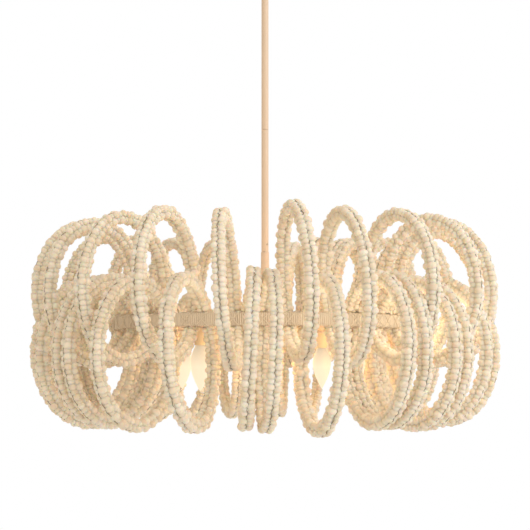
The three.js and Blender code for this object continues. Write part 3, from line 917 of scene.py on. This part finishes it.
class CHANDELIER_OT_stem(bpy.types.Operator):
    """Draws the two stem tubes and spins the trumpet above the hub"""
    bl_idname = "chandelier.stem"
    bl_label = "Stem"

    def execute(self, context):
        self.upper_tube()
        self.lower_tube()
        self.trumpet()
        return {"FINISHED"}

    def tube(self, solid, bottom, top):
        bore, edge = STEM_RADIUS - 0.0012, 0.0005
        solid.turned(drum(STEM_RADIUS, bottom, top, edge, bore), "paint", segments=48, closed=True)

    def upper_tube(self):
        """The tube, the half ball that hangs in the canopy and the tongue on the swivel's pin"""
        solid = Solid()
        low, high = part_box("stem_upper")
        ball = max(-low.x, high.x)
        wall, sink, open_angle, least_angle, steps = 0.0015, 0.004, math.radians(82), 0.2, 24
        self.tube(solid, JOINT_LEVEL, -PIN_DROP - ball + sink)
        swings = [open_angle * step / steps for step in range(steps + 1)]
        swings = [swing for swing in swings if swing > least_angle]
        outer, inner = [[(radius * math.sin(swing), -PIN_DROP - radius * math.cos(swing)) for swing in swings]
                        for radius in (ball, ball - wall)]
        solid.turned(outer + inner[::-1], "paint", closed=True)
        tongue, thickness, foot, arc_steps = 0.007, 0.006, 0.003, 16
        outline = [(tongue * math.cos(a), -PIN_DROP + tongue * math.sin(a)) for a in half_turn(0.0, arc_steps)]
        outline += [(-tongue, -PIN_DROP - ball + foot), (tongue, -PIN_DROP - ball + foot)]
        stand = Matrix.Rotation(math.pi / 2, 4, "X")
        solid.extruded(outline, -thickness / 2, thickness / 2, "steel", stand)
        solid.piece("stem_tube_upper", HANGING, "cream_paint", ["stem_upper"])

    def lower_tube(self):
        """The tube, the threaded stub that joins it to the upper one and the set screws"""
        solid = Solid()
        low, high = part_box("stem_lower")
        top = JOINT_LEVEL - SEAT_GAP
        self.tube(solid, low.z, top)
        stub_radius, thread, turns = STEM_RADIUS - 0.0015, 0.0004, 20
        bore, length = stub_radius * 0.75, high.z - top
        profile = [(bore, top - length)]
        for step in range(2 * turns + 1):
            depth = thread if step % 2 else 0.0
            profile.append((stub_radius - depth, top - length + 2 * length * step / (2 * turns)))
        profile.append((bore, high.z))
        solid.turned(profile, "brass", segments=32, closed=True)
        for rise, aside, radius in SET_SCREWS:
            self.set_screw(solid, rise, aside, radius)
        solid.piece("stem_tube_lower", HANGING, "cream_paint", ["stem_lower"])

    def set_screw(self, solid, rise, aside, radius):
        """A socket screw let into the tube, its dark socket facing out"""
        front = Vector((aside, -math.sqrt(STEM_RADIUS ** 2 - aside ** 2), 0.0))
        place = Matrix.Translation(front + Vector((0, 0, CARRIER_LEVEL + rise)))
        place = place @ front.normalized().to_track_quat("Z", "Y").to_matrix().to_4x4()
        back, face, socket = -0.0008, 0.0003, -0.0002
        collar = [(0.0, back), (radius, back), (radius, face), (radius * 0.7, face), (radius * 0.62, socket),
                  (0.0, socket)]
        solid.turned(collar, "thread", place, segments=24)

    def trumpet(self):
        solid = Solid()
        low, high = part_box("trumpet")
        bore = STEM_RADIUS + SEAT_GAP
        lip, foot, power, steps = bore + 0.0005, high.x * 0.99, 3, 24
        foot_edge, lip_edge = 0.001, 0.0005
        outer = []
        for step in range(steps + 1):
            share = step / steps
            outer.append((lip + (foot - lip) * (1 - share) ** power, low.z + (high.z - low.z) * share))
        profile = rounded([(bore, low.z), outer[0], outer[1]], foot_edge) + outer[2:-1]
        profile += rounded([outer[-1], (bore, high.z), (bore, low.z)], lip_edge)
        solid.turned(profile, "paint", closed=True)
        solid.piece("trumpet_cover", HANGING, "cream_paint", ["trumpet"])


class CHANDELIER_OT_lamps(bpy.types.Operator):
    """Makes the candle sleeves and their lit bulbs"""
    bl_idname = "chandelier.lamps"
    bl_label = "Lamps"

    def execute(self, context):
        for number, (holder, bulb) in enumerate(zip(HOLDER_NODES, BULB_NODES), 1):
            self.sleeve(holder, number)
            self.bulb(bulb, holder, number)
        return {"FINISHED"}

    def sleeve(self, node, number):
        """The painted cup under the arm and the candle sleeve below it"""
        solid = Solid()
        low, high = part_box(node)
        place = Matrix.Translation((*((low + high) / 2).to_2d(), high.z))
        length = high.z - low.z
        crown, cup, pan, sleeve, bore, lap = 0.011, 0.015, 0.005, 0.0105, 0.0064, 0.0003
        cup_edge, sleeve_edge = 0.0008, 0.0007
        solid.turned(rounded([(0.0, 0.0), (crown, 0.0), (cup, -pan), (sleeve, -pan - lap), (0.0, -pan)],
                             cup_edge), "paint", place, segments=48)
        solid.turned(drum(sleeve, -pan, -length, sleeve_edge, bore), "sleeve", place, segments=48, closed=True)
        solid.piece(f"candle_sleeve_{number}", HANGING, "sleeve", [node])

    def bulb(self, node, holder, number):
        """Candle-shaped glass and its screw cap, which reaches up into the holder"""
        solid = Solid()
        low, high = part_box(node)
        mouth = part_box(holder)[0].z
        place = Matrix.Translation((*((low + high) / 2).to_2d(), mouth))
        drop, wide = mouth - low.z, (high.x - low.x) / 2
        edge, edge_steps = 0.004, 3
        shares = [(0.0, 0.0), (0.5, 0.0), (0.56, 0.04), (0.72, 0.12), (0.94, 0.25), (1.0, 0.36), (0.95, 0.48),
                  (0.8, 0.62), (0.56, 0.77), (0.32, 0.88), (0.14, 0.96), (0.0, 1.0)]
        profile = rounded([(wide * across, -drop * down) for across, down in shares], edge, edge_steps)
        solid.turned(profile, "bulb", place, segments=40)
        cap, groove, turns, reach = 0.0059, 0.0005, 7, high.z - mouth
        thread = [(0.0, 0.0)]
        for step in range(2 * turns + 1):
            thread.append((cap - (groove if step % 2 else 0.0), reach * step / (2 * turns)))
        thread.append((0.0, reach))
        solid.turned(thread, "brass", place, segments=32)
        solid.piece(f"candle_bulb_{number}", HANGING, "bulb_glass", [node])


# Ceiling fittings

class CHANDELIER_OT_ceiling(bpy.types.Operator):
    """Makes the mounting strap, the domed canopy and the swivel with its pin"""
    bl_idname = "chandelier.ceiling"
    bl_label = "Ceiling fittings"

    def execute(self, context):
        self.strap()
        self.canopy()
        self.swivel()
        return {"FINISHED"}

    def strap(self):
        """A slotted bar with a boss below it that the swivel turns in"""
        solid = Solid()
        low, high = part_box("mounting_strap")
        thickness, boss, socket, edge = 0.004, 0.010, 0.0054, 0.0008
        slot_place, slot_half, slot_radius = 0.0445, 0.005, 0.0025
        under = high.z - thickness
        slots = [(side * slot_place, slot_half, slot_radius) for side in (-1, 1)]
        self.slotted_plate(solid, high.x, high.y, slots, under, high.z)
        solid.turned(drum(boss, under, low.z, edge, socket), "steel", segments=48, closed=True)
        solid.piece("ceiling_strap", CEILING, "bare_metal", ["mounting_strap"])

    def slotted_plate(self, solid, reach, half_width, slots, bottom, top):
        """A flat bar with round-ended slots, filled between its outline and each slot and then raised"""
        arc_steps, bevel, bevel_steps, sharp_angle = 10, 0.0005, 2, math.radians(60)
        flat = bmesh.new()
        loops = [[(-reach, -half_width), (reach, -half_width), (reach, half_width), (-reach, half_width)]]
        arc = half_turn(-math.pi / 2, arc_steps)
        for centre, half_length, radius in slots:
            right = [(centre + half_length + radius * math.cos(a), radius * math.sin(a)) for a in arc]
            left = [(centre - half_length - radius * math.cos(a), -radius * math.sin(a)) for a in arc]
            loops.append(right + left)
        edges = []
        for loop in loops:
            verts = [flat.verts.new((x, y, bottom)) for x, y in loop]
            edges += [flat.edges.new((verts[i], verts[(i + 1) % len(verts)])) for i in range(len(verts))]
        bmesh.ops.triangle_fill(flat, edges=edges, use_beauty=True)
        grown = bmesh.ops.extrude_face_region(flat, geom=list(flat.faces))
        lifted = [item for item in grown["geom"] if isinstance(item, bmesh.types.BMVert)]
        bmesh.ops.translate(flat, verts=lifted, vec=(0, 0, top - bottom))
        sharp = [edge for edge in flat.edges if edge.calc_face_angle(0.0) > sharp_angle]
        bmesh.ops.bevel(flat, geom=sharp, offset=bevel, segments=bevel_steps, affect="EDGES",
                        clamp_overlap=True)
        solid.add(flat, "steel")

    def canopy(self):
        """A thin dome with a straight rim, open below round the stem's ball"""
        solid = Solid()
        low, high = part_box("canopy")
        radius, depth, wall, rim, steps, clearance = high.x, -low.z, 0.0012, 0.008, 20, 0.0007
        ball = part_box("stem_upper")[1].x
        mouth = math.sqrt(ball ** 2 - (depth - wall - PIN_DROP) ** 2) + clearance
        outer, inner = [], []
        for step in range(steps + 1):
            swing = math.pi / 2 * step / steps
            outer.append((mouth + (radius - mouth) * math.cos(swing), -rim - (depth - rim) * math.sin(swing)))
            inner.append((mouth + (radius - wall - mouth) * math.cos(swing),
                          -rim - (depth - wall - rim) * math.sin(swing)))
        profile = [(radius - wall, high.z), (radius, high.z)] + outer + inner[::-1]
        solid.turned(profile, "paint", segments=96, closed=True)
        solid.piece("canopy_dome", CEILING, "cream_paint", ["canopy"])

    def swivel(self):
        """A spigot and disc in the strap's boss, two cheeks below it and the cross pin"""
        solid = Solid()
        low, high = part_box("swivel_yoke")
        disc, disc_height, disc_edge = 0.011, 0.003, 0.0008
        spigot, spigot_foot, spigot_edge = 0.005, 0.001, 0.0005
        disc_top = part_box("mounting_strap")[0].z - SEAT_GAP
        foot, disc_bottom = disc_top - spigot_foot, disc_top - disc_height
        solid.turned(drum(spigot, high.z, foot, spigot_edge), "steel", segments=40)
        solid.turned(drum(disc, disc_top, disc_bottom, disc_edge), "steel", segments=48)
        cheek, cheek_half, gap, arc_steps = 0.003, 0.008, 0.0033, 16
        outline = [(cheek_half * math.cos(a), -PIN_DROP + (-PIN_DROP - low.z) * math.sin(a))
                   for a in half_turn(math.pi, arc_steps)]
        root = disc_top - disc_height * 0.7
        outline += [(cheek_half, root), (-cheek_half, root)]
        upright = Matrix.Rotation(math.pi / 2, 4, "X")
        for side in (-1, 1):
            stand = Matrix.Translation((0, side * (gap + cheek / 2), 0)) @ upright
            solid.extruded(outline, -cheek / 2, cheek / 2, "steel", stand)
        reach, pin_radius, pin_edge = gap + cheek, 0.0025, 0.0004
        solid.bar((0, -reach, -PIN_DROP), (0, reach, -PIN_DROP), pin_radius, "steel", edge=pin_edge)
        solid.piece("swivel_fork", SWIVEL, "bare_metal", ["swivel_yoke"])


# Stage

def white_world(strength, lean):
    """Soft light from all round, stronger and paler from the right; plain white where it is seen"""
    left, right = colour((1.0, 0.85, 0.66)), colour((1.0, 0.97, 0.94))
    world = bpy.data.worlds.new("studio")
    bpy.context.scene.world = world
    world.use_nodes = True
    world.node_tree.nodes.clear()
    g = Graph(world.node_tree)
    across = g.parts(g.node("ShaderNodeTexCoord").outputs["Generated"])[0]
    soft = g.out("ShaderNodeBackground", {
        "Color": g.blend(g.ramp(across, -1.0, 1.0), left, right),
        "Strength": g.ramp(across, -1.0, 1.0, strength - lean, strength + lean),
    })
    white = g.out("ShaderNodeBackground", {"Color": WHITE, "Strength": 1.0})
    mix = g.out("ShaderNodeMixShader", {0: g.seen(), 1: soft, 2: white})
    g.node("ShaderNodeOutputWorld", {"Surface": mix})


def add_light(name, kind, place, power, shade):
    data = bpy.data.lights.new(name, kind)
    data.energy = power
    data.color = shade
    light = bpy.data.objects.new(name, data)
    light.location = place
    bpy.context.scene.collection.objects.link(light)
    return light


def soft_light(name, place, power, shade):
    """A large square light that faces the hoops"""
    width, target = 1.6, Vector((0.0, 0.0, CARRIER_LEVEL))
    light = add_light(name, "AREA", place, power, shade)
    light.data.shape = "SQUARE"
    light.data.size = width
    light.rotation_euler = (target - Vector(place)).to_track_quat("-Z", "Y").to_euler()


def glow_ring(name, power, shade, count, circle, drop, radius, lean):
    """A ring of warm lights, stronger at the right, which swings with the lamps"""
    for number in range(count):
        angle = 2 * math.pi * number / count
        place = (circle * math.cos(angle), circle * math.sin(angle), CARRIER_LEVEL - drop)
        light = add_light(f"{name}_{number + 1}", "POINT", place, power * (1 + lean * math.cos(angle)), shade)
        light.data.shadow_soft_size = radius
        light.visible_camera = False
        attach(light, HANGING)


class CHANDELIER_OT_stage(bpy.types.Operator):
    """Sets the camera at the photograph's place, the pale floor and the soft lights"""
    bl_idname = "chandelier.stage"
    bl_label = "Stage"

    def execute(self, context):
        stage = context.scene.chandelier_stage
        context.scene.view_settings.view_transform = "Standard"
        self.camera(context.scene, stage)
        self.floor(CAD_BOX[0][2] - stage.floor_drop)
        white_world(stage.ambient, stage.lean)
        soft_light("key", (1.9, -2.1, CARRIER_LEVEL + 1.2), stage.key, (0.98, 0.98, 1.0))
        soft_light("fill", (-2.2, -1.6, CARRIER_LEVEL + 0.3), stage.fill, (1.0, 0.90, 0.78))
        glow_ring("lamp_glow", stage.glow, stage.glow_colour, count=12, circle=0.19, drop=0.05, radius=0.05,
                  lean=0.65)
        glow_ring("hoop_glow", stage.spill, stage.spill_colour, count=24, circle=HOOP_CIRCLE, drop=0.0,
                  radius=0.03, lean=0.8)
        return {"FINISHED"}

    def camera(self, scene, stage):
        lens = bpy.data.cameras.new("camera")
        lens.lens = stage.lens
        lens.sensor_width = 36.0
        camera = bpy.data.objects.new("camera", lens)
        camera.location = (0.0, -stage.distance, CARRIER_LEVEL - stage.below)
        camera.rotation_euler = (math.pi / 2 + stage.tilt, 0.0, 0.0)
        scene.collection.objects.link(camera)
        scene.camera = camera

    def floor(self, level):
        """A wide disc that has faded to white before its edge"""
        radius, segments, near, rim_share, shade = 4.0, 96, 1.2, 0.98, (0.9, 0.9, 0.89)
        mesh = bpy.data.meshes.new("floor")
        disc = bmesh.new()
        bmesh.ops.create_circle(disc, cap_ends=True, radius=radius, segments=segments)
        disc.to_mesh(mesh)
        disc.free()
        mesh.materials.append(floor_material(shade, near, radius * rim_share))
        floor = bpy.data.objects.new("floor", mesh)
        floor.location.z = level
        bpy.context.scene.collection.objects.link(floor)


# Panel and registration

STEPS = (CHANDELIER_OT_stage, CHANDELIER_OT_ceiling, CHANDELIER_OT_stem, CHANDELIER_OT_carrier,
         CHANDELIER_OT_lamps, CHANDELIER_OT_hoops, CHANDELIER_OT_wrap, CHANDELIER_OT_ties)


class CHANDELIER_PT_panel(bpy.types.Panel):
    """Lists the settings and the steps in order"""
    bl_label = "Beaded chandelier"
    bl_idname = "CHANDELIER_PT_panel"
    bl_space_type = "VIEW_3D"
    bl_region_type = "UI"
    bl_category = "Chandelier"

    def draw(self, context):
        for group in ("chandelier_sizes", "chandelier_finish", "chandelier_stage"):
            settings = getattr(context.scene, group)
            box = self.layout.box()
            for name in settings.bl_rna.properties.keys():
                if name not in ("rna_type", "name"):
                    box.prop(settings, name)
        for step in STEPS:
            self.layout.operator(step.bl_idname)


GROUPS = {"chandelier_sizes": ChandelierSizes, "chandelier_finish": ChandelierFinish,
          "chandelier_stage": ChandelierStage}


def register():
    for group in GROUPS.values():
        bpy.utils.register_class(group)
    for name, group in GROUPS.items():
        setattr(bpy.types.Scene, name, PointerProperty(type=group))
    for step in (*STEPS, CHANDELIER_PT_panel):
        bpy.utils.register_class(step)


def unregister():
    for step in reversed((*STEPS, CHANDELIER_PT_panel)):
        bpy.utils.unregister_class(step)
    for name in GROUPS:
        delattr(bpy.types.Scene, name)
    for group in reversed(list(GROUPS.values())):
        bpy.utils.unregister_class(group)


def main():
    register()
    for step in STEPS:
        family, action = step.bl_idname.split(".")
        getattr(getattr(bpy.ops, family), action)()


if __name__ == "__main__":
    main()
